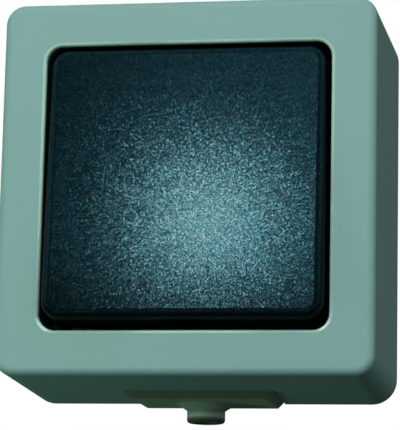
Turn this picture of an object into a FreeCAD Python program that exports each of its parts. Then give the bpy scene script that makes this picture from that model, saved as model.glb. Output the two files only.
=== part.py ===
import FreeCAD, Part
import math
import os
import Sketcher
from types import SimpleNamespace

# Outdoor weatherproof switch, fixed on a wall. All sizes are in millimetres.
# The wall is the plane y = 0, the face looks along -Y, +X is to the right and +Z is up.
# A depth is a distance in front of the wall: a point at depth d lies at y = -d.
# The origin is the centre of the two wall screw holes, on the wall.
# The rocker rests with its top pressed in. Its pieces are drawn upright about the hinge axis and then tilted.

SIZES = {
    # hood
    "face_width": 66.0,
    "face_height": 66.0,
    "back_width": 67.8,
    "back_height": 68.4,
    "front_depth": 35.0,
    "hood_wall_gap": 1.0,
    "front_corner": 3.5,
    "back_corner": 4.5,
    "hood_wall": 2.2,
    "face_thickness": 2.4,
    "face_edge": 1.4,
    "window_width": 50.4,
    "window_height": 50.4,
    "window_corner": 2.8,
    "window_edge": 0.6,
    "collar_wall": 1.8,
    "recess_depth": 12.0,
    "floor_thickness": 2.0,
    "stem_hole_width": 26.8,
    "stem_hole_height": 14.8,
    "stem_hole_corner": 1.5,
    "drain_width": 4.8,
    "drain_length": 1.0,
    "drain_depth": 0.6,
    "drain_setback": 6.0,
    # hood screws
    "hood_screw_across": 20.0,
    "hood_screw_up": 21.0,
    "hood_screw_radius": 1.6,
    "hood_screw_length": 16.0,
    "hood_screw_head": 3.0,
    "hood_screw_head_rise": 2.0,
    "seal_radius": 3.1,
    "seal_thickness": 0.8,
    "screw_clearance": 0.05,
    "screw_hole_clearance": 0.3,
    "screw_end_room": 1.0,
    "driver_slot_width": 0.8,
    "driver_slot_depth": 0.8,
    # base box
    "hood_base_clearance": 0.55,
    "base_corner": 3.0,
    "base_wall": 1.8,
    "base_floor": 2.2,
    "base_rim_gap": 0.5,
    "pillar_radius": 3.0,
    "wall_screw_spacing": 43.0,
    "wall_screw_hole": 2.1,
    # cable entry
    "entry_width": 26.7,
    "entry_reach": 17.0,
    "entry_wall_gap": 0.6,
    "entry_notch_clearance": 0.2,
    "entry_plate_proud": 0.75,
    "entry_chamfer": 1.2,
    "entry_neck_width": 20.0,
    "entry_neck_inset": 2.0,
    "entry_soft_gap": 0.15,
    "entry_flange_rim": 1.8,
    "entry_flange": 1.5,
    "nipple_depth": 7.8,
    "nipple_base_radius": 5.4,
    "nipple_cone": 1.3,
    "nipple_radius": 3.45,
    "nipple_length": 2.2,
    "nipple_round": 0.6,
    "cable_bore": 2.4,
    # mechanism socket and cover
    "insert_width": 42.0,
    "insert_height": 34.0,
    "insert_body_depth": 14.0,
    "insert_floor": 1.6,
    "cover_thickness": 1.8,
    "gasket_thickness": 1.2,
    "gasket_band": 2.8,
    "gasket_clearance": 0.5,
    "chamber_width": 22.4,
    "chamber_height": 18.0,
    "ear_reach": 5.8,
    "ear_height": 8.0,
    "ear_thickness": 3.0,
    "ear_screw_inset": 3.0,
    "ear_screw_radius": 1.6,
    "ear_screw_head": 2.8,
    "ear_screw_head_rise": 1.8,
    "ear_screw_grip": 2.8,
    "rivet_across": 17.0,
    "rivet_up": 13.0,
    "rivet_radius": 1.2,
    "rivet_head": 2.0,
    "rivet_head_rise": 0.7,
    # rocker and its lever
    "half_swing": 3.0,
    "hinge_rise": 1.0,
    "cap_proud": 1.45,
    "cap_gap": 0.5,
    "cap_side_draft": 0.3,
    "cap_corner": 3.2,
    "cap_edge": 1.6,
    "cap_thickness": 2.0,
    "skirt_wall": 1.5,
    "skirt_rear": 5.0,
    "socket_wall": 1.5,
    "socket_rear": 5.6,
    "socket_clearance": 0.15,
    "finger_notch_width": 6.4,
    "finger_notch_height": 1.2,
    "finger_notch_rear": 9.3,
    "finger_notch_depth": 0.5,
    "lever_width": 20.0,
    "lever_height": 6.8,
    "lever_rear": 2.2,
    "lever_head_height": 10.0,
    "lever_head_rear": 4.8,
    "axle_radius": 1.5,
    "axle_clearance": 0.06,
    "cheek_gap": 0.3,
    "cheek_thickness": 1.8,
    "cheek_height": 8.0,
    "cheek_rim": 1.4,
    "tail_reach": 9.5,
    "tail_radius": 3.2,
    "tail_hole_radius": 4.5,
    "spring_seat": 1.0,
    "plunger_radius": 1.8,
    "plunger_clearance": 0.08,
    "plunger_length": 8.8,
    "plunger_wall": 0.5,
    "plunger_end_wall": 1.6,
    "plunger_gap": 0.15,
    "spring_radius": 0.85,
    "spring_wire": 0.2,
    "spring_turns": 8.0,
    "spring_end_gap": 0.05,
    # contacts
    "contact_tilt": 9.0,
    "strip_thickness": 0.8,
    "strip_width": 5.0,
    "pivot_rise": 3.2,
    "seesaw_length": 15.0,
    "seesaw_width": 4.8,
    "seesaw_thickness": 0.9,
    "seesaw_pin": 0.6,
    "seesaw_pin_clearance": 0.06,
    "lug_gap": 0.6,
    "lug_thickness": 0.8,
    "lug_height": 2.8,
    "contact_reach": 6.3,
    "contact_tip_radius": 1.3,
    "moving_tip_thickness": 0.9,
    "closed_gap": 0.1,
    # terminals
    "terminal_across": 8.0,
    "terminal_width": 6.4,
    "terminal_length": 5.8,
    "terminal_depth": 7.0,
    "terminal_inset": 0.7,
    "terminal_clearance": 0.4,
    "terminal_step": 1.1,
    "wire_hole": 1.4,
    "wire_hole_depth": 3.0,
    "clamp_screw_radius": 1.6,
    "clamp_screw_grip": 2.4,
    "clamp_screw_head": 2.6,
    "clamp_screw_head_rise": 2.0,
    "driver_hole": 3.1,
}


class Formula:
    """A number together with the sheet formula that gives it, so that one Python expression writes both."""

    def __init__(self, text, value):
        self.text = text
        self.value = value

    @staticmethod
    def of(term):
        return term if isinstance(term, Formula) else Formula(repr(float(term)), float(term))

    def joined(self, sign, other, value):
        return Formula("(" + self.text + " " + sign + " " + other.text + ")", value)

    def __add__(self, term):
        other = Formula.of(term)
        return self.joined("+", other, self.value + other.value)

    def __sub__(self, term):
        other = Formula.of(term)
        return self.joined("-", other, self.value - other.value)

    def __mul__(self, term):
        other = Formula.of(term)
        return self.joined("*", other, self.value * other.value)

    def __truediv__(self, term):
        other = Formula.of(term)
        return self.joined("/", other, self.value / other.value)

    def __radd__(self, term):
        return Formula.of(term) + self

    def __rsub__(self, term):
        return Formula.of(term) - self

    def __rmul__(self, term):
        return Formula.of(term) * self

    def __neg__(self):
        return Formula("(-" + self.text + ")", -self.value)


def smaller(first, second):
    return Formula("min(" + first.text + "; " + second.text + ")", min(first.value, second.value))


def larger(first, second):
    return Formula("max(" + first.text + "; " + second.text + ")", max(first.value, second.value))


def sine(angle):
    return Formula("sin(" + angle.text + ")", math.sin(math.radians(angle.value)))


def cosine(angle):
    return Formula("cos(" + angle.text + ")", math.cos(math.radians(angle.value)))


doc = FreeCAD.newDocument("Switch")
sheet = doc.addObject("Spreadsheet::Sheet", "Sizes")
for row, (name, number) in enumerate(SIZES.items(), start=1):
    sheet.set("A" + str(row), name)
    sheet.set("B" + str(row), str(number))
    sheet.setAlias("B" + str(row), name)
doc.recompute()
dim = SimpleNamespace(**{name: Formula("Sizes." + name, number) for name, number in SIZES.items()})

# Places that follow from the sizes

floor_front = dim.front_depth - dim.recess_depth
floor_rear = floor_front - dim.floor_thickness
cover_front = floor_rear - dim.gasket_thickness
insert_front = cover_front - dim.cover_thickness
insert_rear = insert_front - dim.insert_body_depth
chamber_floor = insert_rear + dim.insert_floor
strip_front = chamber_floor + dim.strip_thickness
pivot_depth = strip_front + dim.pivot_rise
hinge_depth = floor_front + dim.hinge_rise
plunger_reach = hinge_depth - pivot_depth - dim.seesaw_pin - dim.plunger_gap
screw_seat = floor_front + dim.seal_thickness
screw_end = screw_seat - dim.hood_screw_length

hood_flare = (dim.back_height - dim.face_height) / 2
wall_and_gap = dim.hood_wall + dim.hood_base_clearance
base_width = smaller(dim.face_width, dim.back_width) - 2 * wall_and_gap
base_height = smaller(dim.face_height, dim.back_height) - 2 * wall_and_gap
base_rim = floor_rear - dim.base_rim_gap
base_bottom = -base_height / 2
entry_bottom = -dim.back_height / 2 - dim.entry_plate_proud
nipple_end = entry_bottom - dim.nipple_cone - dim.nipple_length

cap_front = dim.front_depth + dim.cap_proud - hinge_depth
ear_screw_x = dim.insert_width / 2 + dim.ear_screw_inset
terminal_z = dim.insert_height / 2 - dim.terminal_inset - dim.terminal_length / 2
HOOD_SCREWS = [(dim.hood_screw_across, dim.hood_screw_up), (-dim.hood_screw_across, -dim.hood_screw_up)]
EAR_SCREWS = [(ear_screw_x, 0), (-ear_screw_x, 0)]
RIVETS = [(-dim.rivet_across, dim.rivet_up), (dim.rivet_across, -dim.rivet_up)]
TERMINALS = {
    "terminal_common": (-dim.terminal_across, -1),
    "terminal_lower": (dim.terminal_across, -1),
    "terminal_upper": (Formula.of(0), 1),
}
nodes = []


# Binding and checking

def bind(thing, prop, formula):
    """Ties one property to a formula of the sheet."""
    thing.setExpression(prop, Formula.of(formula).text)


def keep(label, thing):
    """Names a finished piece."""
    thing.Label = label
    nodes.append(thing)
    return thing


def place_at_pivot(thing, depth, angle):
    """Puts a piece drawn about a hinge axis at that axis, turned by an angle about +X."""
    thing.Placement = FreeCAD.Placement(FreeCAD.Vector(0, 0, 0), FreeCAD.Rotation(FreeCAD.Vector(1, 0, 0), 1))
    bind(thing, "Placement.Base.y", -depth)
    bind(thing, "Placement.Rotation.Angle", angle)


# Plain solids, placed by x, depth and z

def block(x_low, x_high, d_low, d_high, z_low, z_high):
    box = doc.addObject("Part::Box", "Block")
    bind(box, "Length", Formula.of(x_high) - x_low)
    bind(box, "Width", Formula.of(d_high) - d_low)
    bind(box, "Height", Formula.of(z_high) - z_low)
    bind(box, "Placement.Base.x", x_low)
    bind(box, "Placement.Base.y", -Formula.of(d_high))
    bind(box, "Placement.Base.z", z_low)
    return box


def round_solid(kind, radius, x, depth, z, turn):
    solid = doc.addObject(kind, "Round")
    solid.Placement = FreeCAD.Placement(FreeCAD.Vector(0, 0, 0), turn)
    bind(solid, "Radius", radius)
    bind(solid, "Placement.Base.x", x)
    bind(solid, "Placement.Base.y", -Formula.of(depth))
    bind(solid, "Placement.Base.z", z)
    return solid


def rod(radius, x, depth, z, length, turn):
    cylinder = round_solid("Part::Cylinder", radius, x, depth, z, turn)
    bind(cylinder, "Height", length)
    return cylinder


def rod_out(radius, d_low, d_high, x=0, z=0):
    """A round rod that runs away from the wall."""
    turn = FreeCAD.Rotation(FreeCAD.Vector(1, 0, 0), 90)
    return rod(radius, x, d_low, z, Formula.of(d_high) - d_low, turn)


def rod_across(radius, x_low, x_high, depth=0, z=0):
    """A round rod that runs along X."""
    turn = FreeCAD.Rotation(FreeCAD.Vector(0, 1, 0), 90)
    return rod(radius, x_low, depth, z, Formula.of(x_high) - x_low, turn)


def rod_up(radius, z_low, z_high, x=0, depth=0):
    """A round rod that runs along Z."""
    return rod(radius, x, depth, z_low, Formula.of(z_high) - z_low, FreeCAD.Rotation())


def ball(radius, x, depth, z):
    return round_solid("Part::Sphere", radius, x, depth, z, FreeCAD.Rotation())


def fused(*pieces):
    fuse = doc.addObject("Part::MultiFuse", "Fuse")
    fuse.Shapes = list(pieces)
    fuse.Refine = True
    return fuse


def cut(base, *tools):
    difference = doc.addObject("Part::Cut", "Cut")
    difference.Base = base
    difference.Tool = tools[0] if len(tools) == 1 else fused(*tools)
    return difference


def group(*pieces):
    """Like pieces kept together as separate solids."""
    compound = doc.addObject("Part::Compound", "Group")
    compound.Links = list(pieces)
    return compound


# Sketched solids

def new_body(name):
    body = doc.addObject("PartDesign::Body", name)
    return keep(name, body)


def sketch_on(body, role, offset):
    """A sketch on one of the body's origin planes, moved along the plane's normal.

    XZ_Plane: sketch x is X, sketch y is Z, and the offset is a depth.
    XY_Plane: sketch x is X, sketch y is Y, and the offset is a height.
    """
    sketch = body.newObject("Sketcher::SketchObject", "Sketch")
    plane = next(feature for feature in body.Origin.OriginFeatures if feature.Role == role)
    sketch.AttachmentSupport = [(plane, "")]
    sketch.MapMode = "FlatFace"
    bind(sketch, "AttachmentOffset.Base.z", offset)
    return sketch


def dimension(sketch, label, constraint, formula):
    index = sketch.addConstraint(constraint)
    name = label + str(index)
    sketch.renameConstraint(index, name)
    bind(sketch, "Constraints." + name, formula)


def add_circle(sketch, x, y, radius):
    x, y, radius = Formula.of(x), Formula.of(y), Formula.of(radius)
    centre = FreeCAD.Vector(x.value, y.value, 0)
    circle = sketch.addGeometry(Part.Circle(centre, FreeCAD.Vector(0, 0, 1), radius.value), False)
    dimension(sketch, "radius", Sketcher.Constraint("Radius", circle, radius.value), radius)
    dimension(sketch, "x", Sketcher.Constraint("DistanceX", -1, 1, circle, 3, x.value), x)
    dimension(sketch, "y", Sketcher.Constraint("DistanceY", -1, 1, circle, 3, y.value), y)


def add_rectangle(sketch, x_low, x_high, y_low, y_high, radius=None):
    """A rectangle from its four sides, with equal round corners when a radius is given."""
    x_low, x_high, y_low, y_high = [Formula.of(side) for side in (x_low, x_high, y_low, y_high)]
    r = radius.value if radius else 0.0
    left, right, low, high = x_low.value, x_high.value, y_low.value, y_high.value
    ends = [
        ((left + r, low), (right - r, low)),
        ((right, low + r), (right, high - r)),
        ((right - r, high), (left + r, high)),
        ((left, high - r), (left, low + r)),
    ]
    sides = []
    for start, end in ends:
        line = Part.LineSegment(FreeCAD.Vector(*start, 0), FreeCAD.Vector(*end, 0))
        sides.append(sketch.addGeometry(line, False))
    centres = [(right - r, low + r), (right - r, high - r), (left + r, high - r), (left + r, low + r)]
    arcs = []
    for quarter, centre in enumerate(centres):
        following = sides[(quarter + 1) % 4]
        if radius is None:
            sketch.addConstraint(Sketcher.Constraint("Coincident", sides[quarter], 2, following, 1))
            continue
        circle = Part.Circle(FreeCAD.Vector(*centre, 0), FreeCAD.Vector(0, 0, 1), r)
        start_angle = math.radians(90 * (quarter - 1))
        arc = sketch.addGeometry(Part.ArcOfCircle(circle, start_angle, start_angle + math.pi / 2), False)
        sketch.addConstraint(Sketcher.Constraint("Tangent", sides[quarter], 2, arc, 1))
        sketch.addConstraint(Sketcher.Constraint("Tangent", arc, 2, following, 1))
        arcs.append(arc)
    for arc in arcs[1:]:
        sketch.addConstraint(Sketcher.Constraint("Equal", arcs[0], arc))
    if arcs:
        dimension(sketch, "radius", Sketcher.Constraint("Radius", arcs[0], r), radius)
    for side, direction in zip(sides, ("Horizontal", "Vertical", "Horizontal", "Vertical")):
        sketch.addConstraint(Sketcher.Constraint(direction, side))
    dimension(sketch, "low", Sketcher.Constraint("DistanceY", -1, 1, sides[0], 1, low), y_low)
    dimension(sketch, "right", Sketcher.Constraint("DistanceX", -1, 1, sides[1], 1, right), x_high)
    dimension(sketch, "high", Sketcher.Constraint("DistanceY", -1, 1, sides[2], 1, high), y_high)
    dimension(sketch, "left", Sketcher.Constraint("DistanceX", -1, 1, sides[3], 1, left), x_low)


def centred_rectangle(sketch, width, height, radius=None):
    add_rectangle(sketch, -width / 2, width / 2, -height / 2, height / 2, radius)


def extruded(kind, body, sketch, length, reverse, more):
    before = 0.0
    if body.Tip and body.Tip.isDerivedFrom("PartDesign::Feature"):
        before = body.Tip.Shape.Volume
    feature = body.newObject(kind, "Feature")
    feature.Profile = sketch
    feature.Reversed = reverse
    bind(feature, "Length", length)
    doc.recompute()
    if feature.Shape.isNull() or (feature.Shape.Volume > before) != more:
        raise ValueError(body.Name + ": " + feature.Name + " changed the solid the wrong way")
    return feature


def pad(body, sketch, length, reverse=False):
    """Adds material along the sketch's normal: away from the wall, or up."""
    return extruded("PartDesign::Pad", body, sketch, length, reverse, True)


def pocket(body, sketch, length, reverse=False):
    """Takes material away against the sketch's normal: towards the wall, or down."""
    return extruded("PartDesign::Pocket", body, sketch, length, reverse, False)


def loft(body, kind, first, second):
    feature = body.newObject(kind, "Loft")
    feature.Profile = first
    feature.Sections = [second]
    feature.Ruled = True
    doc.recompute()
    return feature


def edges_within(feature, low, high):
    """The names of the edges whose box lies inside the given corners."""
    room = FreeCAD.BoundBox(*low, *high)
    return ["Edge" + str(i) for i, edge in enumerate(feature.Shape.Edges, start=1)
            if room.isInside(edge.BoundBox)]


def dress_edges(kind, size_name, body, low, high, size):
    """Rounds or bevels the edges of the body's newest feature that lie inside the given corners."""
    base = body.Tip
    feature = body.newObject(kind, "Edges")
    feature.Base = (base, edges_within(base, low, high))
    bind(feature, size_name, size)
    doc.recompute()
    return feature


FAR = 200.0
HAIR = 0.01


# The hood: a moulded shell with a window, a collar behind the window and a floor that the two screws go through

def make_hood():
    body = new_body("hood_frame")
    back = sketch_on(body, "XZ_Plane", dim.hood_wall_gap)
    centred_rectangle(back, dim.back_width, dim.back_height, dim.back_corner)
    face = sketch_on(body, "XZ_Plane", dim.front_depth)
    centred_rectangle(face, dim.face_width, dim.face_height, dim.front_corner)
    loft(body, "PartDesign::AdditiveLoft", back, face)
    front = -dim.front_depth.value
    dress_edges("PartDesign::Fillet", "Radius", body,
                (-FAR, front - HAIR, -FAR), (FAR, front + HAIR, FAR), dim.face_edge)

    inner_back = sketch_on(body, "XZ_Plane", dim.hood_wall_gap)
    centred_rectangle(inner_back, dim.back_width - 2 * dim.hood_wall, dim.back_height - 2 * dim.hood_wall,
                      dim.back_corner - dim.hood_wall / 2)
    inner_face = sketch_on(body, "XZ_Plane", dim.front_depth - dim.face_thickness)
    centred_rectangle(inner_face, dim.face_width - 2 * dim.hood_wall, dim.face_height - 2 * dim.hood_wall,
                      dim.front_corner - dim.hood_wall / 2)
    loft(body, "PartDesign::SubtractiveLoft", inner_back, inner_face)

    collar = sketch_on(body, "XZ_Plane", floor_rear)
    centred_rectangle(collar, dim.window_width + 2 * dim.collar_wall, dim.window_height + 2 * dim.collar_wall,
                      dim.window_corner + dim.collar_wall)
    pad(body, collar, dim.front_depth - dim.face_thickness / 2 - floor_rear)
    window = sketch_on(body, "XZ_Plane", dim.front_depth)
    centred_rectangle(window, dim.window_width, dim.window_height, dim.window_corner)
    pocket(body, window, dim.front_depth - floor_front)
    reach_x = dim.window_width.value / 2 + HAIR
    reach_z = dim.window_height.value / 2 + HAIR
    dress_edges("PartDesign::Fillet", "Radius", body,
                (-reach_x, front - HAIR, -reach_z), (reach_x, front + HAIR, reach_z), dim.window_edge)

    holes = sketch_on(body, "XZ_Plane", floor_front)
    centred_rectangle(holes, dim.stem_hole_width, dim.stem_hole_height, dim.stem_hole_corner)
    for x, z in HOOD_SCREWS:
        add_circle(holes, x, z, dim.hood_screw_radius + dim.screw_hole_clearance)
    pocket(body, holes, dim.floor_thickness)

    notch = sketch_on(body, "XY_Plane", base_bottom)
    half_notch = dim.entry_width / 2 + dim.entry_notch_clearance
    add_rectangle(notch, -half_notch, half_notch, -dim.entry_reach - dim.entry_notch_clearance, 0)
    pocket(body, notch, larger(dim.face_height, dim.back_height) / 2 + base_bottom)
    drain = sketch_on(body, "XY_Plane", -dim.back_height / 2)
    drain_front = dim.front_depth - dim.drain_setback
    add_rectangle(drain, -dim.drain_width / 2, dim.drain_width / 2,
                  -drain_front, -drain_front + dim.drain_length)
    pocket(body, drain, hood_flare + dim.drain_depth, reverse=True)


# The two screws that hold the hood, each on a soft washer

def make_hood_screws():
    seals = []
    screws = []
    hole = dim.hood_screw_radius + dim.screw_clearance
    for x, z in HOOD_SCREWS:
        disc = rod_out(dim.seal_radius, floor_front, screw_seat, x, z)
        seals.append(cut(disc, rod_out(hole, floor_front, screw_seat, x, z)))
        screws.append(slotted_screw(dim.hood_screw_radius, dim.hood_screw_head, screw_end, screw_seat,
                                    dim.hood_screw_head_rise, x, z))
    keep("hood_screw_seals", group(*seals))
    keep("hood_screws", group(*screws))


def slotted_screw(radius, head_radius, end, seat, head_rise, x, z):
    """A screw that points at the wall, with a driver slot in its head."""
    head_top = seat + head_rise
    solid = fused(rod_out(radius, end, seat, x, z), rod_out(head_radius, seat, head_top, x, z))
    slot = block(x - head_radius, x + head_radius, head_top - dim.driver_slot_depth, head_top,
                 z - dim.driver_slot_width / 2, z + dim.driver_slot_width / 2)
    return cut(solid, slot)


# The base box: a tray on the wall with pillars for the hood screws, bosses for the mechanism and a slot below

def make_base():
    body = new_body("base_box")
    outline = sketch_on(body, "XZ_Plane", 0)
    centred_rectangle(outline, base_width, base_height, dim.base_corner)
    pad(body, outline, base_rim)
    inside = sketch_on(body, "XZ_Plane", base_rim)
    centred_rectangle(inside, base_width - 2 * dim.base_wall, base_height - 2 * dim.base_wall,
                      dim.base_corner - dim.base_wall / 2)
    pocket(body, inside, base_rim - dim.base_floor)

    pillars = sketch_on(body, "XZ_Plane", 0)
    for x, z in HOOD_SCREWS:
        add_circle(pillars, x, z, dim.pillar_radius)
    pad(body, pillars, floor_rear)
    bosses = sketch_on(body, "XZ_Plane", 0)
    for x, z in EAR_SCREWS:
        add_circle(bosses, x, z, dim.pillar_radius)
    pad(body, bosses, insert_rear)

    pillar_holes = sketch_on(body, "XZ_Plane", floor_rear)
    for x, z in HOOD_SCREWS:
        add_circle(pillar_holes, x, z, dim.hood_screw_radius + dim.screw_clearance)
    pocket(body, pillar_holes, floor_rear - screw_end + dim.screw_end_room)
    boss_holes = sketch_on(body, "XZ_Plane", insert_rear)
    for x, z in EAR_SCREWS:
        add_circle(boss_holes, x, z, dim.ear_screw_radius + dim.screw_clearance)
    pocket(body, boss_holes, dim.ear_screw_grip + dim.screw_end_room / 3)
    wall_holes = sketch_on(body, "XZ_Plane", dim.base_floor)
    for z in (dim.wall_screw_spacing / 2, -dim.wall_screw_spacing / 2):
        add_circle(wall_holes, 0, z, dim.wall_screw_hole)
    pocket(body, wall_holes, dim.base_floor)

    slot = sketch_on(body, "XY_Plane", base_bottom + dim.base_wall)
    half_slot = dim.entry_neck_width / 2 + dim.entry_soft_gap
    add_rectangle(slot, -half_slot, half_slot,
                  -dim.entry_reach + dim.entry_neck_inset - dim.entry_soft_gap,
                  -dim.entry_wall_gap - dim.entry_neck_inset + dim.entry_soft_gap)
    pocket(body, slot, dim.base_wall)


# The soft cable entry: a plate in the hood's notch, a neck in the base's slot, an inner flange and the nipple

def make_grommet():
    body = new_body("cable_grommet")
    gap = dim.entry_soft_gap
    half = dim.entry_width / 2
    plate_front = dim.entry_reach
    plate_rear = dim.entry_wall_gap
    plate = sketch_on(body, "XY_Plane", entry_bottom)
    add_rectangle(plate, -half, half, -plate_front, -plate_rear)
    pad(body, plate, base_bottom - gap - entry_bottom)
    low = entry_bottom.value
    for side in (-1, 1):
        x = side * half.value
        dress_edges("PartDesign::Chamfer", "Size", body,
                    (x - HAIR, -FAR, low - HAIR), (x + HAIR, FAR, low + HAIR), dim.entry_chamfer)

    half_neck = dim.entry_neck_width / 2
    neck_front = plate_front - dim.entry_neck_inset
    neck_rear = plate_rear + dim.entry_neck_inset
    neck = sketch_on(body, "XY_Plane", base_bottom - gap)
    add_rectangle(neck, -half_neck, half_neck, -neck_front, -neck_rear)
    pad(body, neck, dim.base_wall + 2 * gap)
    flange = sketch_on(body, "XY_Plane", base_bottom + dim.base_wall + gap)
    add_rectangle(flange, -half_neck - dim.entry_flange_rim, half_neck + dim.entry_flange_rim,
                  -neck_front - dim.entry_flange_rim, -dim.base_floor - gap)
    pad(body, flange, dim.entry_flange)

    wide = sketch_on(body, "XY_Plane", entry_bottom)
    add_circle(wide, 0, -dim.nipple_depth, dim.nipple_base_radius)
    narrow = sketch_on(body, "XY_Plane", entry_bottom - dim.nipple_cone)
    add_circle(narrow, 0, -dim.nipple_depth, dim.nipple_radius)
    loft(body, "PartDesign::AdditiveLoft", wide, narrow)
    stub = sketch_on(body, "XY_Plane", nipple_end)
    add_circle(stub, 0, -dim.nipple_depth, dim.nipple_radius)
    pad(body, stub, dim.nipple_length)
    end = nipple_end.value
    dress_edges("PartDesign::Fillet", "Radius", body, (-FAR, -FAR, end - HAIR), (FAR, FAR, end + HAIR),
                dim.nipple_round)
    bore = sketch_on(body, "XY_Plane", nipple_end)
    add_circle(bore, 0, -dim.nipple_depth, dim.cable_bore)
    pocket(body, bore, base_bottom + dim.base_wall + gap + dim.entry_flange - nipple_end, reverse=True)


# The mechanism's socket: a block with a contact chamber, three terminal bays and two screw ears

def make_insert_body():
    half_width = dim.insert_width / 2
    half_height = dim.insert_height / 2
    solid = block(-half_width, half_width, insert_rear, insert_front, -half_height, half_height)
    ear_tip = half_width + dim.ear_reach
    ears = block(-ear_tip, ear_tip, insert_rear, insert_rear + dim.ear_thickness,
                 -dim.ear_height / 2, dim.ear_height / 2)
    tools = [block(-dim.chamber_width / 2, dim.chamber_width / 2, chamber_floor, insert_front,
                   -dim.chamber_height / 2, dim.chamber_height / 2)]
    half_bay = dim.terminal_width / 2 + dim.terminal_clearance
    strip_room = dim.strip_width / 2 + dim.terminal_clearance
    for x, side in TERMINALS.values():
        inner = dim.chamber_height / 2 + dim.terminal_step
        tools.append(upright_block(side, x - half_bay, x + half_bay, chamber_floor, insert_front,
                                   inner, half_height))
        tools.append(upright_block(side, x - strip_room, x + strip_room, chamber_floor,
                                   strip_front + dim.terminal_clearance, 0, inner + dim.terminal_clearance))
    for x, z in EAR_SCREWS:
        tools.append(rod_out(dim.ear_screw_radius + dim.screw_clearance, insert_rear,
                             insert_rear + dim.ear_thickness, x, z))
    for x, z in RIVETS:
        tools.append(rod_out(dim.rivet_radius + dim.screw_clearance, insert_rear, insert_front, x, z))
    keep("insert_body", cut(fused(solid, ears), *tools))


def upright_block(side, x_low, x_high, d_low, d_high, z_near, z_far):
    """A block above the middle when side is 1, and below it when side is -1."""
    if side > 0:
        return block(x_low, x_high, d_low, d_high, z_near, z_far)
    return block(x_low, x_high, d_low, d_high, -Formula.of(z_far), -Formula.of(z_near))


# The socket's cover, with two cheeks that carry the lever's axles

def make_insert_cover():
    half_width = dim.insert_width / 2
    half_height = dim.insert_height / 2
    cheek_in = dim.lever_width / 2 + dim.cheek_gap
    cheek_out = cheek_in + dim.cheek_thickness
    plate = block(-half_width, half_width, insert_front, cover_front, -half_height, half_height)
    parts = [plate]
    tools = [rod_out(dim.tail_hole_radius, insert_front, cover_front)]
    for side in (-1, 1):
        x_low, x_high = (cheek_in, cheek_out) if side > 0 else (-cheek_out, -cheek_in)
        parts.append(block(x_low, x_high, insert_front, hinge_depth,
                           -dim.cheek_height / 2, dim.cheek_height / 2))
        parts.append(rod_across(dim.axle_radius + dim.cheek_rim, x_low, x_high, hinge_depth))
        tools.append(rod_across(dim.axle_radius + dim.axle_clearance, x_low, x_high, hinge_depth))
    for x, side in TERMINALS.values():
        tools.append(rod_out(dim.driver_hole, insert_front, cover_front, x, side * terminal_z))
    for x, z in RIVETS:
        tools.append(rod_out(dim.rivet_radius + dim.screw_clearance, insert_front, cover_front, x, z))
    keep("insert_cover", cut(fused(*parts), *tools))

    half_open_x = cheek_out + dim.gasket_clearance
    half_open_z = dim.stem_hole_height / 2
    ring = block(-half_open_x - dim.gasket_band, half_open_x + dim.gasket_band, cover_front, floor_rear,
                 -half_open_z - dim.gasket_band, half_open_z + dim.gasket_band)
    opening = block(-half_open_x, half_open_x, cover_front, floor_rear, -half_open_z, half_open_z)
    keep("insert_gasket", cut(ring, opening))


# The screws in the ears and the rivets through cover and socket

def make_insert_fasteners():
    seat = insert_rear + dim.ear_thickness
    screws = [slotted_screw(dim.ear_screw_radius, dim.ear_screw_head, insert_rear - dim.ear_screw_grip, seat,
                            dim.ear_screw_head_rise, x, z) for x, z in EAR_SCREWS]
    keep("insert_screws", group(*screws))
    rivets = []
    for x, z in RIVETS:
        rivets.append(fused(rod_out(dim.rivet_radius, insert_rear, cover_front, x, z),
                            rod_out(dim.rivet_head, cover_front, cover_front + dim.rivet_head_rise, x, z),
                            rod_out(dim.rivet_head, insert_rear - dim.rivet_head_rise, insert_rear, x, z)))
    keep("cover_rivets", group(*rivets))


# The rocker cap: a shallow hollow cover whose drafted sides clear the window over the whole swing

def half_height_at(forward):
    """Half the cap's height at a distance in front of the hinge axis, where the pressed end just clears."""
    free = dim.window_height / 2 - dim.cap_gap - forward * sine(dim.half_swing)
    return free / cosine(dim.half_swing)


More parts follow.
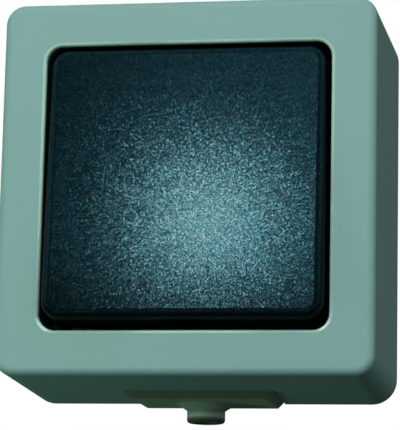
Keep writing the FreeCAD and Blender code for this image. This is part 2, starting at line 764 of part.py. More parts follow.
def make_cap():
    body = new_body("rocker_cap")
    rear_width = dim.window_width - 2 * dim.cap_gap
    front_width = rear_width - 2 * dim.cap_side_draft
    rear_height = 2 * half_height_at(dim.skirt_rear)
    front_height = 2 * half_height_at(cap_front)
    inner_front = cap_front - dim.cap_thickness
    rear = sketch_on(body, "XZ_Plane", dim.skirt_rear)
    centred_rectangle(rear, rear_width, rear_height, dim.cap_corner)
    front = sketch_on(body, "XZ_Plane", cap_front)
    centred_rectangle(front, front_width, front_height, dim.cap_corner)
    loft(body, "PartDesign::AdditiveLoft", rear, front)
    y_front = -cap_front.value
    dress_edges("PartDesign::Fillet", "Radius", body,
                (-FAR, y_front - HAIR, -FAR), (FAR, y_front + HAIR, FAR), dim.cap_edge)

    two_walls = 2 * dim.skirt_wall
    inner_corner = dim.cap_corner - dim.skirt_wall / 2
    hollow_rear = sketch_on(body, "XZ_Plane", dim.skirt_rear)
    centred_rectangle(hollow_rear, rear_width - two_walls, rear_height - two_walls, inner_corner)
    hollow_front = sketch_on(body, "XZ_Plane", inner_front)
    centred_rectangle(hollow_front, front_width - two_walls, front_height - two_walls, inner_corner)
    loft(body, "PartDesign::SubtractiveLoft", hollow_rear, hollow_front)

    inner_width = dim.lever_width + 2 * dim.socket_clearance
    inner_height = dim.lever_head_height + 2 * dim.socket_clearance
    socket = sketch_on(body, "XZ_Plane", dim.socket_rear)
    centred_rectangle(socket, inner_width + 2 * dim.socket_wall, inner_height + 2 * dim.socket_wall)
    centred_rectangle(socket, inner_width, inner_height)
    pad(body, socket, inner_front + dim.cap_thickness / 2 - dim.socket_rear)

    notch = sketch_on(body, "XY_Plane", -rear_height / 2)
    notch_front = dim.finger_notch_rear + dim.finger_notch_height
    add_rectangle(notch, -dim.finger_notch_width / 2, dim.finger_notch_width / 2,
                  -notch_front, -dim.finger_notch_rear)
    pocket(body, notch, rear_height / 2 - half_height_at(notch_front) + dim.finger_notch_depth, reverse=True)
    place_at_pivot(body, hinge_depth, -dim.half_swing)


# The lever under the cap, with its stub axles and the bore for spring and plunger

def make_lever():
    half_width = dim.lever_width / 2
    axle_end = half_width + dim.cheek_gap + dim.cheek_thickness
    head_top = cap_front - dim.cap_thickness - dim.socket_clearance
    parts = [
        block(-half_width, half_width, -dim.lever_rear, dim.lever_head_rear,
              -dim.lever_height / 2, dim.lever_height / 2),
        block(-half_width, half_width, dim.lever_head_rear, head_top,
              -dim.lever_head_height / 2, dim.lever_head_height / 2),
        rod_across(dim.axle_radius, -axle_end, axle_end),
        rod_out(dim.tail_radius, -dim.tail_reach, 0),
    ]
    bore = rod_out(dim.plunger_radius + dim.plunger_clearance, -dim.tail_reach, dim.spring_seat)
    lever = keep("actuator_lever", cut(fused(*parts), bore))
    place_at_pivot(lever, hinge_depth, -dim.half_swing)


# The plunger, a hollow pin with a round end, and the spring inside it

def make_plunger():
    ball_centre = -plunger_reach + dim.plunger_radius
    open_end = -plunger_reach + dim.plunger_length
    seat = -plunger_reach + dim.plunger_end_wall
    solid = fused(rod_out(dim.plunger_radius, ball_centre, open_end),
                  ball(dim.plunger_radius, 0, ball_centre, 0))
    plunger = keep("plunger", cut(solid, rod_out(dim.plunger_radius - dim.plunger_wall, seat, open_end)))
    place_at_pivot(plunger, hinge_depth, -dim.half_swing)

    wire = dim.spring_wire.value
    gap = dim.spring_end_gap.value
    start = seat.value + wire + gap
    length = dim.spring_seat.value - wire - gap - start
    helix = Part.makeHelix(length / dim.spring_turns.value, length, dim.spring_radius.value)
    profile = Part.Wire(Part.makeCircle(wire, FreeCAD.Vector(dim.spring_radius.value, 0, 0),
                                        FreeCAD.Vector(0, 1, 0)))
    coil = helix.makePipeShell([profile], True, True)
    along_bore = FreeCAD.Placement(FreeCAD.Vector(0, -start, 0), FreeCAD.Rotation(FreeCAD.Vector(1, 0, 0), 90))
    spring = doc.addObject("Part::Feature", "Spring")
    spring.Shape = coil.transformed(along_bore.toMatrix(), copy=True)
    keep("plunger_spring", spring)
    place_at_pivot(spring, hinge_depth, -dim.half_swing)


# The see-saw that carries the moving contacts, drawn flat about its pin and then tilted

def make_contact_lever():
    half_thickness = dim.seesaw_thickness / 2
    pin_end = dim.seesaw_width / 2 + dim.lug_gap + dim.lug_thickness
    strip = block(-dim.seesaw_width / 2, dim.seesaw_width / 2, -half_thickness, half_thickness,
                  -dim.seesaw_length / 2, dim.seesaw_length / 2)
    lever = keep("contact_lever", fused(strip, rod_across(dim.seesaw_pin, -pin_end, pin_end)))
    tips = [rod_out(dim.contact_tip_radius, -half_thickness - dim.moving_tip_thickness, -half_thickness, 0, z)
            for z in (dim.contact_reach, -dim.contact_reach)]
    tip_pair = keep("moving_contact_tips", group(*tips))
    for piece in (lever, tip_pair):
        place_at_pivot(piece, pivot_depth, dim.contact_tilt)


# The fixed strips on the chamber's floor, each ending under its terminal

def make_fixed_contacts():
    half_strip = dim.strip_width / 2
    strip_end = terminal_z + dim.terminal_length / 2
    near = dim.contact_reach - half_strip
    far = dim.contact_reach + half_strip
    upper = block(-half_strip, half_strip, chamber_floor, strip_front, near, strip_end)
    keep("fixed_contact_upper", upper)

    right = dim.terminal_across + half_strip
    lower = fused(block(-half_strip, right, chamber_floor, strip_front, -far, -near),
                  block(right - dim.strip_width, right, chamber_floor, strip_front, -strip_end, -near))
    keep("fixed_contact_lower", lower)

    lug_in = dim.seesaw_width / 2 + dim.lug_gap
    lug_out = lug_in + dim.lug_thickness
    lug_front = pivot_depth + dim.seesaw_pin
    half_lug = dim.lug_height / 2
    pin_room = dim.seesaw_pin + dim.seesaw_pin_clearance
    left = -dim.terminal_across - half_strip
    parts = [
        block(left, lug_out, chamber_floor, strip_front, -half_lug, half_lug),
        block(left, left + dim.strip_width, chamber_floor, strip_front, -strip_end, half_lug),
    ]
    notches = []
    for x_low, x_high in ((lug_in, lug_out), (-lug_out, -lug_in)):
        parts.append(block(x_low, x_high, strip_front, lug_front, -half_lug, half_lug))
        notches.append(rod_across(pin_room, x_low, x_high, pivot_depth))
        notches.append(block(x_low, x_high, pivot_depth, lug_front, -pin_room, pin_room))
    keep("common_contact", cut(fused(*parts), *notches))

    low_corner = ((dim.contact_reach + dim.contact_tip_radius) * sine(dim.contact_tilt)
                  + (dim.seesaw_thickness / 2 + dim.moving_tip_thickness) * cosine(dim.contact_tilt))
    tip_front = pivot_depth - low_corner - dim.closed_gap
    tips = [rod_out(dim.contact_tip_radius, strip_front, tip_front, 0, z)
            for z in (dim.contact_reach, -dim.contact_reach)]
    keep("fixed_contact_tips", group(*tips))


# The three screw terminals: a brass block with a wire hole and a clamping screw

def make_terminals():
    block_front = strip_front + dim.terminal_depth
    wire_depth = strip_front + dim.wire_hole_depth
    half_width = dim.terminal_width / 2
    half_length = dim.terminal_length / 2
    screws = []
    for name, (x, side) in TERMINALS.items():
        z = side * terminal_z
        brass = block(x - half_width, x + half_width, strip_front, block_front,
                      z - half_length, z + half_length)
        wire_hole = rod_up(dim.wire_hole, z - half_length, z + half_length, x, wire_depth)
        screw_hole = rod_out(dim.clamp_screw_radius + dim.screw_clearance, wire_depth, block_front, x, z)
        keep(name, cut(brass, wire_hole, screw_hole))
        screws.append(slotted_screw(dim.clamp_screw_radius, dim.clamp_screw_head,
                                    block_front - dim.clamp_screw_grip, block_front,
                                    dim.clamp_screw_head_rise, x, z))
    keep("terminal_screws", group(*screws))


make_hood()
make_hood_screws()
make_base()
make_grommet()
make_insert_body()
make_insert_cover()
make_insert_fasteners()
make_cap()
make_lever()
make_plunger()
make_contact_lever()
make_fixed_contacts()
make_terminals()
doc.recompute()

for thing in doc.Objects:
    if {"Invalid", "Error"} & set(thing.State):
        raise ValueError(thing.Name + " (" + thing.Label + ") failed: " + ", ".join(thing.State))
for thing in nodes:
    if thing.Shape.isNull() or not thing.Shape.isValid() or not thing.Shape.Solids:
        raise ValueError(thing.Label + " has no valid shape")

os.makedirs("parts", exist_ok=True)
for thing in nodes:
    thing.Shape.exportStep(os.path.join("parts", thing.Label + ".step"))
    box = thing.Shape.BoundBox
    print(f"{thing.Label:22s} {len(thing.Shape.Solids)} {thing.Shape.Volume:10.2f} mm3"
          f"  x {box.XMin:7.2f} {box.XMax:7.2f}  y {box.YMin:7.2f} {box.YMax:7.2f}"
          f"  z {box.ZMin:7.2f} {box.ZMax:7.2f}")
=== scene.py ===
import math
import bmesh
import bpy
from mathutils import Matrix, Vector


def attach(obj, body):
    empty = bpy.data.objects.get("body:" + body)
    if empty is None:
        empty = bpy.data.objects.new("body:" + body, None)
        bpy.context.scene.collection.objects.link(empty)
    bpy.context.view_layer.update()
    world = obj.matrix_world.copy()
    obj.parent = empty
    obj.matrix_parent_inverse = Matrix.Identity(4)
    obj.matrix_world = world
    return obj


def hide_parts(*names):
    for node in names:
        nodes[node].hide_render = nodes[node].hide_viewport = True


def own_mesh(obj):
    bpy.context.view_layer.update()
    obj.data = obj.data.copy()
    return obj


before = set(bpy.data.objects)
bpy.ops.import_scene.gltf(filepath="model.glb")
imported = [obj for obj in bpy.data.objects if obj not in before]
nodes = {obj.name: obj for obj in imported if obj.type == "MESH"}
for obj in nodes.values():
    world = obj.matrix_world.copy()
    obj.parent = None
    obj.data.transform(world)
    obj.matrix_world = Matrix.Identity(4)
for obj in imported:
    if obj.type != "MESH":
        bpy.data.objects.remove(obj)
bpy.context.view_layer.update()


# The camera, at the photograph's place: a little to the right of the switch and below it, looking up at it.
# The aim is a point of the face plane, the angles are in degrees, and the image is 400 by 430 pixels.

camera_aim = Vector((0.00277, -0.035, -0.00533))
camera_yaw = math.radians(9.83)
camera_pitch = math.radians(-10.81)
camera_roll = math.radians(1.27)
camera_distance = 0.3986
focal_pixels = 2319.5
image_height = 430
sensor_width = 36.0
nearest_seen = 0.01

towards_camera = Vector((math.sin(camera_yaw) * math.cos(camera_pitch),
                         -math.cos(camera_yaw) * math.cos(camera_pitch),
                         math.sin(camera_pitch)))
level_right = Vector((math.cos(camera_yaw), math.sin(camera_yaw), 0.0))
level_up = towards_camera.cross(level_right)
camera_right = math.cos(camera_roll) * level_right + math.sin(camera_roll) * level_up
camera_up = math.cos(camera_roll) * level_up - math.sin(camera_roll) * level_right
lens = bpy.data.cameras.new("photo_camera")
lens.sensor_width = sensor_width
lens.lens = focal_pixels * sensor_width / image_height
lens.clip_start = nearest_seen
camera = bpy.data.objects.new("photo_camera", lens)
bpy.context.scene.collection.objects.link(camera)
turn = Matrix((camera_right, camera_up, towards_camera)).transposed().to_4x4()
camera.matrix_world = Matrix.Translation(camera_aim + camera_distance * towards_camera) @ turn
bpy.context.scene.camera = camera


# The room: a white background, a pale floor well below the switch, and soft lamps.
# Gloss sees a room that is pale straight in front, overhead and at both sides, and dim elsewhere.
# The patch in front fades out to the left and right. The floor is faint in gloss, and only in front.

class Wire:
    """A shader socket that takes part in Python sums; each operator adds its Math node."""

    def __init__(self, finish, socket):
        self.finish = finish
        self.socket = socket

    def maths(self, operation, *terms):
        return self.finish.node("ShaderNodeMath", {"operation": operation},
                                dict(enumerate((self,) + terms)))

    def __add__(self, other):
        return self.maths("ADD", other)

    def __radd__(self, other):
        return self.maths("ADD", other)

    def __sub__(self, other):
        return self.maths("SUBTRACT", other)

    def __rsub__(self, other):
        return self.finish.node("ShaderNodeMath", {"operation": "SUBTRACT"}, {0: other, 1: self})

    def __mul__(self, other):
        return self.maths("MULTIPLY", other)

    def __rmul__(self, other):
        return self.maths("MULTIPLY", other)

    def __truediv__(self, other):
        return self.maths("DIVIDE", other)

    def __pow__(self, other):
        return self.maths("POWER", other)

    def clamped(self):
        return self.finish.node("ShaderNodeClamp", {}, {"Value": self})

    def between(self, low, high):
        """0 below low, 1 above high, and a straight line between."""
        return ((self - low) / (high - low)).clamped()


class Finish:
    """A node tree. The method node adds its nodes, and the methods after it name those that come often."""

    def __init__(self, tree):
        self.tree = tree
        self.tree.nodes.clear()

    def node(self, kind, settings, values, output=0):
        """Adds a node: its settings first, then a value or a wire for each named or numbered socket."""
        added = self.tree.nodes.new(kind)
        stops = settings.pop("stops", None)
        for name, value in settings.items():
            setattr(added, name, value)
        if stops:
            ramp = added.color_ramp.elements
            while len(ramp) < len(stops):
                ramp.new(1.0)
            for element, (position, colour) in zip(ramp, stops):
                element.position = position
                element.color = colour
        for name, value in values.items():
            if isinstance(value, Wire):
                self.tree.links.new(value.socket, added.inputs[name])
            else:
                added.inputs[name].default_value = value
        return Wire(self, added.outputs[output])

    def light_path(self, ray):
        """1 for rays of one kind, and 0 for the others."""
        return self.node("ShaderNodeLightPath", {}, {}, ray)

    def place(self):
        """Where a point lies in the switch's frame, in metres."""
        return self.node("ShaderNodeTexCoord", {}, {}, "Object")

    def along(self, vector, axis):
        """One of a vector's three numbers."""
        return self.node("ShaderNodeSeparateXYZ", {}, {0: vector}, axis)

    def vectors(self, operation, *terms, output=0):
        """Adds a Vector Math node with its terms in their order."""
        return self.node("ShaderNodeVectorMath", {"operation": operation}, dict(enumerate(terms)), output)

    def clouds(self, place, scale, detail):
        """Soft random clouds from 0 to 1, about as many to the metre as the scale says."""
        return self.node("ShaderNodeTexNoise", {},
                         {"Vector": place, "Scale": scale, "Detail": detail}, "Fac")

    def bumps(self, height, strength, distance):
        """Leans the normal as on a surface that stands up by the distance where the height is 1."""
        return self.node("ShaderNodeBump", {},
                         {"Height": height, "Strength": strength, "Distance": distance})

    def blend(self, amount, first, second, kind="MIX"):
        """Goes from the first colour to the second, or to both multiplied, as the amount goes from 0 to 1.
        Sockets 0, 6 and 7 of the node are the amount and the colours, and its output 2 is the blend."""
        return self.node("ShaderNodeMix", {"data_type": "RGBA", "blend_type": kind},
                         {0: amount, 6: first, 7: second}, 2)

    def close(self, kind, surface):
        """Adds the output node and joins the surface to it."""
        self.tree.links.new(surface.socket, self.tree.nodes.new(kind).inputs["Surface"])


white = (1.0, 1.0, 1.0, 1.0)
black = (0.0, 0.0, 0.0, 1.0)
ambient = 0.06
gloss_elsewhere = 0.035
gloss_in_front = 0.31
gloss_over_and_beside = 0.22

# Each pair is where a part of the room starts to come or go and where it has done so, as X, Y or Z of the
# direction that gloss sees.
overhead_z = (0.3, 0.9)
beside_front_y = (-0.85, -0.55)
beside_back_y = (-0.2, 0.2)
patch_left_x = (-0.30, -0.02)
patch_right_x = (0.05, 0.25)
patch_y = (-0.88, -0.75)

bpy.context.scene.view_settings.view_transform = "Standard"
room = bpy.data.worlds.new("studio")
room.use_nodes = True
bpy.context.scene.world = room
studio = Finish(room.node_tree)
is_camera = studio.light_path("Is Camera Ray")
is_glossy = studio.light_path("Is Glossy Ray")
is_transmission = studio.light_path("Is Transmission Ray")
direction = studio.node("ShaderNodeTexCoord", {}, {}, "Generated")
overhead = studio.along(direction, "Z").between(*overhead_z)
towards_back = studio.along(direction, "Y")
beside = towards_back.between(*beside_front_y) * (1.0 - towards_back.between(*beside_back_y))
to_the_right = studio.along(direction, "X")
straight_on = to_the_right.between(*patch_left_x) * (1.0 - to_the_right.between(*patch_right_x))
in_front = (1.0 - towards_back.between(*patch_y)) * straight_on
over_and_beside = overhead.maths("MAXIMUM", beside)
gloss_light = gloss_elsewhere + gloss_in_front * in_front + gloss_over_and_beside * over_and_beside
seen_in_gloss = is_glossy * gloss_light
pale = (is_camera + is_transmission + seen_in_gloss).clamped()
studio.close("ShaderNodeOutputWorld", studio.node("ShaderNodeBackground", {}, {
    "Color": white, "Strength": pale + (1.0 - pale) * ambient}))


def placed(name, mesh):
    """Puts a smooth mesh into the scene under a name."""
    mesh.polygons.foreach_set("use_smooth", [True] * len(mesh.polygons))
    piece = bpy.data.objects.new(name, mesh)
    bpy.context.scene.collection.objects.link(piece)
    return piece


def principled(name, **constants):
    """A material with one Principled shader, and the constants set on its own sockets."""
    material = bpy.data.materials.new(name)
    material.use_nodes = True
    finish = Finish(material.node_tree)
    finish.material = material
    finish.sockets = {key.replace("_", " "): value for key, value in constants.items()}
    return finish


def finished(finish, **varying):
    """Joins what varies to the shader and closes the material."""
    sockets = dict(finish.sockets)
    sockets.update({key.replace("_", " "): value for key, value in varying.items()})
    finish.close("ShaderNodeOutputMaterial", finish.node("ShaderNodeBsdfPrincipled", {}, sockets))
    return finish.material


floor_height = -0.135
floor_half = 1.6
floor_dull = 0.9
floor_cloud_scale = 3.0
floor_cloud_detail = 2.0
floor_gloss = 0.10
floor_gloss_y = (-0.30, -0.10)
floor_low = (0.86, 0.87, 0.87, 1.0)
floor_high = (0.92, 0.92, 0.92, 1.0)
floor_bounce = (0.030, 0.050, 0.040, 1.0)
floor_glow = (0.55, 0.55, 0.55, 1.0)
floor_mesh = bpy.data.meshes.new("floor")
floor_mesh.from_pydata([(-floor_half, -floor_half, floor_height), (floor_half, -floor_half, floor_height),
                        (floor_half, floor_half, floor_height), (-floor_half, floor_half, floor_height)],
                       [], [(0, 1, 2, 3)])
floor = placed("floor", floor_mesh)
floor_paint = principled("floor_paint", Roughness=floor_dull, Emission_Strength=1.0)
floor_direct = floor_paint.light_path("Is Camera Ray")
floor_glossy = floor_paint.light_path("Is Glossy Ray")
floor_place = floor_paint.place()
floor_depth = floor_paint.along(floor_place, "Y")
floor_in_gloss = floor_gloss * floor_glossy * (1.0 - floor_depth.between(*floor_gloss_y))
floor_seen = (floor_direct + floor_in_gloss).clamped()
floor_cloud = floor_paint.clouds(floor_place, floor_cloud_scale, floor_cloud_detail)
floor_pale = floor_paint.blend(floor_cloud, floor_low, floor_high)
floor_mesh.materials.append(finished(
    floor_paint,
    Base_Color=floor_paint.blend(floor_seen, floor_bounce, floor_pale),
    Emission_Color=floor_paint.blend(floor_seen, black, floor_glow)))


def soft_lamp(name, place, aim, side, power, colour=(1.0, 1.0, 1.0), mirrored=False):
    """A square lamp at a place, turned so that it shines at the aim; the camera doesn't see it.
    Gloss shows the lamp itself only where it is mirrored, as through a polariser."""
    light = bpy.data.lights.new(name, "AREA")
    light.shape = "RECTANGLE"
    light.size = side
    light.size_y = side
    light.energy = power
    light.color = colour
    lamp = bpy.data.objects.new(name, light)
    bpy.context.scene.collection.objects.link(lamp)
    lamp.location = place
    lamp.rotation_euler = (Vector(aim) - Vector(place)).to_track_quat("-Z", "Y").to_euler()
    lamp.visible_camera = False
    lamp.visible_glossy = mirrored


# The key lamp stands in front, up and to the left. The right lamp, and a small one below on the left, are
# a pale green. The glow lamp is the one that the rocker mirrors, and the rear lamp lights the back.
face_middle = (0.0, -0.03, 0.0)
soft_lamp("key_lamp", place=(-0.10, -0.58, 0.37), aim=face_middle, side=0.50, power=3.75)
soft_lamp("right_lamp", place=(0.62, -0.60, 0.22), aim=face_middle, side=0.5, power=1.75,
          colour=(0.90, 1.0, 0.97))
soft_lamp("low_lamp", place=(-0.16, -0.10, -0.105), aim=(0.0, -0.02, -0.034), side=0.04, power=0.068,
          colour=(0.62, 1.0, 0.80))
soft_lamp("glow_lamp", place=(-0.0853, -0.602, 0.151), aim=face_middle, side=0.08, power=0.160,
          mirrored=True)
soft_lamp("rear_lamp", place=(-0.5, 0.9, 0.6), aim=(0.0, 0.0, 0.0), side=0.6, power=6.0, mirrored=True)


# The base box: the tray that is screwed to the wall, with its two pillars and two bosses.
# One matt moulding in grey-green thermoplastic, a little darker and duller than the hood.

def linear(red, green, blue):
    """A screen colour from 0 to 1 as light: c / 12.92 up to 0.04045, else ((c + 0.055) / 1.055) ** 2.4."""
    def light(c):
        return c / 12.92 if c <= 0.04045 else ((c + 0.055) / 1.055) ** 2.4
    return (light(red), light(green), light(blue), 1.0)


def dress(material, *names):
    """Gives CAD nodes their finish."""
    for name in names:
        for slot in nodes[name].material_slots:
            slot.material = material


base_low = linear(0.44, 0.57, 0.55)
base_high = linear(0.49, 0.63, 0.60)
base_cloud_scale = 60.0
base_cloud_detail = 3.0
base_grain_scale = 3200.0
base_grain_detail = 2.0
base_grain_height = 0.00006
base_grain_strength = 0.12
base_dull = 0.52
base_dull_in_clouds = 0.12
base_paint = principled("base_moulding")
base_place = base_paint.place()
base_cloud = base_paint.clouds(base_place, base_cloud_scale, base_cloud_detail)
base_grain = base_paint.clouds(base_place, base_grain_scale, base_grain_detail)
dress(finished(base_paint,
               Base_Color=base_paint.blend(base_cloud, base_low, base_high),
               Roughness=base_dull + base_dull_in_clouds * base_cloud,
               Normal=base_paint.bumps(base_grain, base_grain_strength, base_grain_height)),
      "base_box")


# The cable entry: a plate, a neck and a flange with the round nipple below, one piece of soft grey rubber.
# It is pushed into the slot in the base box from below. A paler ring just above the end of the nipple is a
# painted highlight, where its front catches the light. The end itself, which faces down, and a line along
# the plate's cut front edge are painted dark as shade.

nipple_end = -0.03845
shaded_end_height = (0.0004, 0.0009)
end_shade_colour = linear(0.30, 0.36, 0.30)
highlight_ring_start = (0.0008, 0.0011)
highlight_ring_stop = (0.0014, 0.0020)
highlight_ring_colour = linear(0.84, 0.90, 0.82)
plate_front = -0.017
shade_line_depth = (plate_front + 0.0001, plate_front + 0.0007)
shade_line_amount = 0.8
shade_line_colour = linear(0.42, 0.43, 0.36)
entry_low = linear(0.56, 0.64, 0.57)
entry_high = linear(0.63, 0.71, 0.63)
entry_cloud_scale = 220.0
entry_cloud_detail = 4.0
entry_grain_scale = 5200.0
entry_grain_detail = 2.0
entry_grain_height = 0.00005
entry_grain_strength = 0.2
entry_dull = 0.58
entry_dull_in_clouds = 0.14
entry_paint = principled("entry_rubber")
entry_place = entry_paint.place()
entry_cloud = entry_paint.clouds(entry_place, entry_cloud_scale, entry_cloud_detail)
entry_grain = entry_paint.clouds(entry_place, entry_grain_scale, entry_grain_detail)
entry_height = entry_paint.along(entry_place, "Z")
above_end = entry_height - nipple_end
# Painted highlight: a paler ring just above the nipple's end.
highlight_ring = above_end.between(*highlight_ring_start) * (1.0 - above_end.between(*highlight_ring_stop))
entry_body = entry_paint.blend(entry_cloud, entry_low, entry_high)
highlight_ringed = entry_paint.blend(highlight_ring, entry_body, highlight_ring_colour)
entry_depth = entry_paint.along(entry_place, "Y")
# Painted shade: a dark line along the plate's cut front edge.
shade_line = shade_line_amount - shade_line_amount * entry_depth.between(*shade_line_depth)
shade_lined = entry_paint.blend(shade_line, highlight_ringed, shade_line_colour)
# Painted shade: the nipple's end, which faces down, is painted dark.
dress(finished(entry_paint,
               Base_Color=entry_paint.blend(above_end.between(*shaded_end_height), end_shade_colour, shade_lined),
               Roughness=entry_dull + entry_dull_in_clouds * entry_cloud,
               Normal=entry_paint.bumps(entry_grain, entry_grain_strength, entry_grain_height)),
      "cable_grommet")


# The hood: the outer shell with its square window, which carries the look of the switch.
# One moulding in grey-green thermoplastic with a satin skin. The edge of the window is smoother than the
# face in a line half a millimetre wide, and that line is painted paler as a highlight, with a painted glint
# at the two lower corners.

window_half = 0.0252
window_corner = 0.0028
window_edge = 0.0006
hood_front = -0.035
line_middle = 0.5 * window_edge
line_sides = (0.25 * window_edge, 0.6 * window_edge)
line_depth = (hood_front + 0.7 * window_edge, hood_front + 1.2 * window_edge)
lower_corner_start = (0.0, 0.0016)
weakest_line_strength = 0.3
line_strength_clouds = (0.42, 0.56)
highlight_line_colour = linear(0.68, 0.84, 0.77)
corner_glint_colour = linear(0.78, 0.93, 0.89)
hood_low = linear(0.49, 0.655, 0.631)
hood_high = linear(0.515, 0.675, 0.66)
hood_specular = 0.35
hood_cloud_scale = 45.0
hood_cloud_detail = 3.0
hood_grain_scale = 4200.0
hood_grain_detail = 2.0
hood_grain_height = 0.00004
hood_grain_strength = 0.08
hood_dull = 0.40
hood_dull_in_clouds = 0.06
hood_dull_in_grain = 0.05
hood_polish = 0.12
hood_paint = principled("hood_moulding", Specular_IOR_Level=hood_specular)
hood_place = hood_paint.place()
hood_cloud = hood_paint.clouds(hood_place, hood_cloud_scale, hood_cloud_detail)
hood_grain = hood_paint.clouds(hood_place, hood_grain_scale, hood_grain_detail)
across = hood_paint.along(hood_place, "X")
depth = hood_paint.along(hood_place, "Y")
upward = hood_paint.along(hood_place, "Z")

# How far a point lies outside the window's rounded square: its corner's arc, or else the nearer side.
past_x = across.maths("ABSOLUTE") - (window_half - window_corner)
past_z = upward.maths("ABSOLUTE") - (window_half - window_corner)
round_corner = (past_x.maths("MAXIMUM", 0.0) ** 2.0 + past_z.maths("MAXIMUM", 0.0) ** 2.0) ** 0.5
from_window = round_corner + past_x.maths("MAXIMUM", past_z).maths("MINIMUM", 0.0) - window_corner
on_line = 1.0 - (from_window - line_middle).maths("ABSOLUTE").between(*line_sides)
near_front = 1.0 - depth.between(*line_depth)
below_z = -1.0 * upward - (window_half - window_corner)
lower_corner = past_x.between(*lower_corner_start) * below_z.between(*lower_corner_start)
line_strength_in_clouds = weakest_line_strength + (1.0 - weakest_line_strength) * hood_cloud.between(*line_strength_clouds)
line_strength = line_strength_in_clouds.maths("MAXIMUM", lower_corner)
# Painted highlight: the line is painted paler than the face, and palest at the lower corners as a painted
# glint; it is also smoother.
polish_and_highlight = on_line * near_front * line_strength
hood_body = hood_paint.blend(hood_cloud, hood_low, hood_high)
painted_highlight_colour = hood_paint.blend(lower_corner, highlight_line_colour, corner_glint_colour)
hood_skin_and_highlight = hood_paint.blend(polish_and_highlight, hood_body, painted_highlight_colour)

# Painted shade: the window's inner wall in the gap round the rocker, below the rounded edge, is painted
# dark.
gap_shade_amount = 0.9
gap_shade_depth = (hood_front + window_edge, hood_front + 2.0 * window_edge)
gap_shade_reach = (0.0001, 0.0004)
gap_shade_colour = linear(0.12, 0.15, 0.15)
in_gap = depth.between(*gap_shade_depth)
gap_shade = gap_shade_amount * in_gap * (1.0 - from_window.between(*gap_shade_reach))
hood_roughness = hood_dull + hood_dull_in_clouds * hood_cloud + hood_dull_in_grain * hood_grain
dress(finished(hood_paint,
               Base_Color=hood_paint.blend(gap_shade, hood_skin_and_highlight, gap_shade_colour),
               Roughness=hood_roughness - hood_polish * polish_and_highlight,
               Normal=hood_paint.bumps(hood_grain, hood_grain_strength, hood_grain_height)),
      "hood_frame")


# The soft parts: washers under the hood screws and the flat seal round the mechanism's opening.
# Dark grey-green rubber, punched from sheet, so the faces are dull.

seal_low = linear(0.20, 0.29, 0.25)
seal_high = linear(0.28, 0.37, 0.33)
seal_cloud_scale = 900.0
seal_cloud_detail = 4.0
seal_cloud_height = 0.0001
seal_cloud_strength = 0.2
seal_dull = 0.66
seal_dull_in_clouds = 0.14
seal_paint = principled("seal_rubber")
seal_place = seal_paint.place()
seal_cloud = seal_paint.clouds(seal_place, seal_cloud_scale, seal_cloud_detail)
dress(finished(seal_paint,
               Base_Color=seal_paint.blend(seal_cloud, seal_low, seal_high),
               Roughness=seal_dull + seal_dull_in_clouds * seal_cloud,
               Normal=seal_paint.bumps(seal_cloud, seal_cloud_strength, seal_cloud_height)),
      "hood_screw_seals", "insert_gasket")


# The steel parts: slotted screws, the two rivets through cover and socket, and the plunger.
# Turned or headed from steel wire and zinc plated, which leaves a bright, faintly clouded skin.

steel_low = linear(0.72, 0.72, 0.70)
steel_high = linear(0.86, 0.86, 0.84)
steel_cloud_scale = 700.0
steel_cloud_detail = 5.0
steel_cloud_height = 0.00005
steel_cloud_strength = 0.15
steel_dull = 0.22
steel_dull_in_clouds = 0.2
steel_paint = principled("zinc_steel", Metallic=1.0)
steel_place = steel_paint.place()
steel_cloud = steel_paint.clouds(steel_place, steel_cloud_scale, steel_cloud_detail)
zinc_steel = finished(steel_paint,
                      Base_Color=steel_paint.blend(steel_cloud, steel_low, steel_high),
                      Roughness=steel_dull + steel_dull_in_clouds * steel_cloud,
                      Normal=steel_paint.bumps(steel_cloud, steel_cloud_strength, steel_cloud_height))
dress(zinc_steel, "hood_screws", "insert_screws", "cover_rivets", "terminal_screws", "plunger",
      "plunger_spring")


# The coil spring inside the plunger, wound from steel wire. Its front end stands in the rocker's lever, and
# its rear end is pushed forward by the plunger, so in the switch the coil shortens as the plunger slides.
# Here the merged coil is joined to the rocker and moves with it whole, without shortening.

same_point = 0.000001
wound = bmesh.new()
wound.from_mesh(nodes["plunger_spring"].data)
bmesh.ops.remove_doubles(wound, verts=wound.verts, dist=same_point)
coil_mesh = bpy.data.meshes.new("spring_coil")
wound.to_mesh(coil_mesh)
wound.free()
coil_mesh.materials.clear()
coil_mesh.materials.append(zinc_steel)
spring_coil = placed("spring_coil", coil_mesh)
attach(spring_coil, "rocker")
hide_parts("plunger_spring")
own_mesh(spring_coil)


# The mechanism's socket and cover: the insulating body that holds contacts and terminals.
# Pressed from dark grey thermoset with a mineral filler, which shows as fine pale specks.

socket_colour = linear(0.15, 0.16, 0.17)
speck_colour = linear(0.42, 0.43, 0.43)
speck_scale = 2600.0
speck_detail = 2.0
speck_edge = (0.58, 0.72)
speck_amount = 0.35
socket_cloud_scale = 120.0
socket_cloud_detail = 2.0
socket_dull = 0.44
socket_dull_in_clouds = 0.16
socket_paint = principled("socket_thermoset")
socket_place = socket_paint.place()
specks = socket_paint.clouds(socket_place, speck_scale, speck_detail).between(*speck_edge)
socket_cloud = socket_paint.clouds(socket_place, socket_cloud_scale, socket_cloud_detail)
dress(finished(socket_paint,
               Base_Color=socket_paint.blend(speck_amount * specks, socket_colour, speck_colour),
               Roughness=socket_dull + socket_dull_in_clouds * socket_cloud),
      "insert_body", "insert_cover")


# The contacts and terminals: stamped brass strips and blocks, clamped and riveted in the socket.
# Rolling leaves fine lines along the strip, and handling leaves darker clouds.

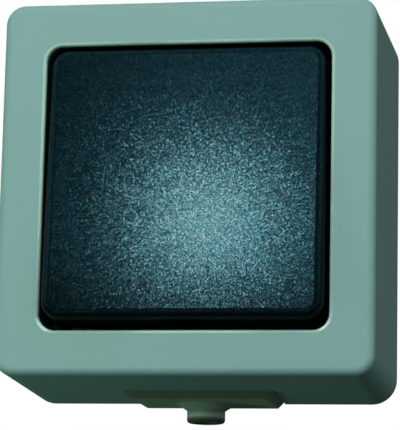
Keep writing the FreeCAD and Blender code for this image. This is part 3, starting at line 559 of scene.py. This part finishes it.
brass_low = linear(0.80, 0.64, 0.34)
brass_high = linear(0.90, 0.76, 0.46)
rolled_stretch = (9.0, 1.0, 0.4)
brass_line_scale = 900.0
brass_line_detail = 3.0
brass_line_height = 0.00004
brass_line_strength = 0.12
brass_cloud_scale = 260.0
brass_cloud_detail = 4.0
brass_dull = 0.22
brass_dull_in_lines = 0.14
brass_dull_in_clouds = 0.1
brass_paint = principled("stamped_brass", Metallic=1.0)
brass_place = brass_paint.place()
brass_rolled = brass_paint.node("ShaderNodeMapping", {}, {"Vector": brass_place, "Scale": rolled_stretch})
brass_lines = brass_paint.clouds(brass_rolled, brass_line_scale, brass_line_detail)
brass_cloud = brass_paint.clouds(brass_place, brass_cloud_scale, brass_cloud_detail)
brass_roughness = brass_dull + brass_dull_in_lines * brass_lines + brass_dull_in_clouds * brass_cloud
dress(finished(brass_paint,
               Base_Color=brass_paint.blend(brass_cloud, brass_low, brass_high),
               Roughness=brass_roughness,
               Normal=brass_paint.bumps(brass_lines, brass_line_strength, brass_line_height)),
      "contact_lever", "common_contact", "fixed_contact_upper", "fixed_contact_lower",
      "terminal_common", "terminal_upper", "terminal_lower")


# The contact tips: small silver rivets, two on the contact lever and one on each fixed contact.
# Headed from silver wire, with a soft clouded shine.

tip_low = linear(0.78, 0.77, 0.74)
tip_high = linear(0.92, 0.91, 0.89)
tip_cloud_scale = 1500.0
tip_cloud_detail = 4.0
tip_dull = 0.25
tip_dull_in_clouds = 0.2
tip_paint = principled("silver_tip", Metallic=1.0)
tip_place = tip_paint.place()
tip_cloud = tip_paint.clouds(tip_place, tip_cloud_scale, tip_cloud_detail)
dress(finished(tip_paint,
               Base_Color=tip_paint.blend(tip_cloud, tip_low, tip_high),
               Roughness=tip_dull + tip_dull_in_clouds * tip_cloud),
      "moving_contact_tips", "fixed_contact_tips")


# The lever under the rocker, which swings in the cover's cheeks and holds plunger and spring.
# A smooth white moulding in acetal, with a faint gloss.

lever_low = linear(0.79, 0.80, 0.77)
lever_high = linear(0.84, 0.85, 0.83)
lever_cloud_scale = 150.0
lever_cloud_detail = 3.0
lever_dull = 0.30
lever_dull_in_clouds = 0.10
lever_paint = principled("lever_acetal")
lever_place = lever_paint.place()
lever_cloud = lever_paint.clouds(lever_place, lever_cloud_scale, lever_cloud_detail)
dress(finished(lever_paint,
               Base_Color=lever_paint.blend(lever_cloud, lever_low, lever_high),
               Roughness=lever_dull + lever_dull_in_clouds * lever_cloud),
      "actuator_lever")


# The rocker: one large cap with a skirt, moulded in anthracite and lacquered with fine metal flakes.
# Each flake lies at its own angle, so the light breaks up into cyan, blue and green points round a glow.

flake_size = 0.00022
flake_tilt = 0.058
crown_radius = 0.66
rocker_specular = 0.2
hue_scale = 2400.0
hue_detail = 1.0
hues = [(0.35, (0.037, 0.084, 0.104, 1.0)),
        (0.5, (0.037, 0.087, 0.093, 1.0)),
        (0.65, (0.044, 0.090, 0.084, 1.0))]
dark_lacquer = (0.008, 0.038, 0.044, 1.0)
bright_flakes = (0.063, 0.096, 0.100, 1.0)
bright_share = (0.5, 1.0)
rocker_paint = principled("rocker_flake_lacquer", Metallic=1.0, Specular_IOR_Level=rocker_specular)
rocker_place = rocker_paint.place()
flake = rocker_paint.node("ShaderNodeTexVoronoi", {"feature": "F1"},
                          {"Vector": rocker_place, "Scale": 1.0 / flake_size}, "Color")
flake_pick = rocker_paint.node("ShaderNodeSeparateColor", {}, {0: flake}, "Green")
flake_hue = rocker_paint.clouds(rocker_place, hue_scale, hue_detail)
flake_colour = rocker_paint.node("ShaderNodeValToRGB", {"stops": hues}, {"Fac": flake_hue})
plain_flakes = rocker_paint.blend(flake_pick, dark_lacquer, flake_colour)
flakes = rocker_paint.blend(flake_pick.between(*bright_share), plain_flakes, bright_flakes)

# Painted light and shade: round the middle of the glow the lacquer is painted a little greyer, as in the
# glow, and further out it is painted bluer, as in the shade.
glow_middle = (0.0038, -0.03, -0.0053)
glow_reach = (0.008, 0.026)
shade_blue_tint = (0.62, 1.02, 1.22, 1.0)
from_glow_middle = rocker_paint.vectors("SUBTRACT", rocker_place, glow_middle)
from_glow = rocker_paint.vectors("LENGTH", from_glow_middle, output="Value")
shade_blue_flakes = rocker_paint.blend(1.0, flakes, shade_blue_tint, kind="MULTIPLY")
shade_tinted_flakes = rocker_paint.blend(from_glow.between(*glow_reach), flakes, shade_blue_flakes)

# Painted shade: towards the lower edge the lacquer is painted darker, all but the brightest flakes.
most_shaded = 0.84
flake_saves = 0.68
shaded_lower_reach = (0.0125, 0.0210)
shade_dark_moulding = (0.008, 0.018, 0.020, 1.0)
below_middle = -1.0 * rocker_paint.along(rocker_place, "Z")
painted_lower_shade = (most_shaded - flake_saves * flake_pick) * below_middle.between(*shaded_lower_reach)
lower_shaded = rocker_paint.blend(painted_lower_shade, shade_tinted_flakes, shade_dark_moulding)

# The surface normal leans by (x, 0, z) / crown radius, as on a very slightly crowned face, and each flake
# leans further by up to half the flake tilt, its own way.
crown = rocker_paint.vectors("MULTIPLY", rocker_place, (1.0 / crown_radius, 0.0, 1.0 / crown_radius))
flake_way = rocker_paint.vectors("SUBTRACT", flake, (0.5, 0.5, 0.5))
flake_lean = rocker_paint.vectors("MULTIPLY", flake_way, (flake_tilt, 0.0, flake_tilt))
flat_normal = rocker_paint.node("ShaderNodeNewGeometry", {}, {}, "Normal")
crowned = rocker_paint.vectors("ADD", flat_normal, crown)
leaning = rocker_paint.vectors("ADD", crowned, flake_lean)

# The lacquer covers the face and the skirt is dull moulding, with the change over the rounded edge. The
# colour there and on the skirt is painted dark as shade, darker the more the surface turns from the front.
lacquer_facing = (0.55, 0.92)
moulding_dull = 0.55
lacquer_shine = 0.385
facing_front = -1.0 * rocker_paint.along(flat_normal, "Y")
lacquer_and_unshaded = facing_front.between(*lacquer_facing)
dress(finished(rocker_paint,
               Base_Color=rocker_paint.blend(lacquer_and_unshaded, shade_dark_moulding, lower_shaded),
               Roughness=moulding_dull - lacquer_shine * lacquer_and_unshaded,
               Normal=rocker_paint.vectors("NORMALIZE", leaning)),
      "rocker_cap")
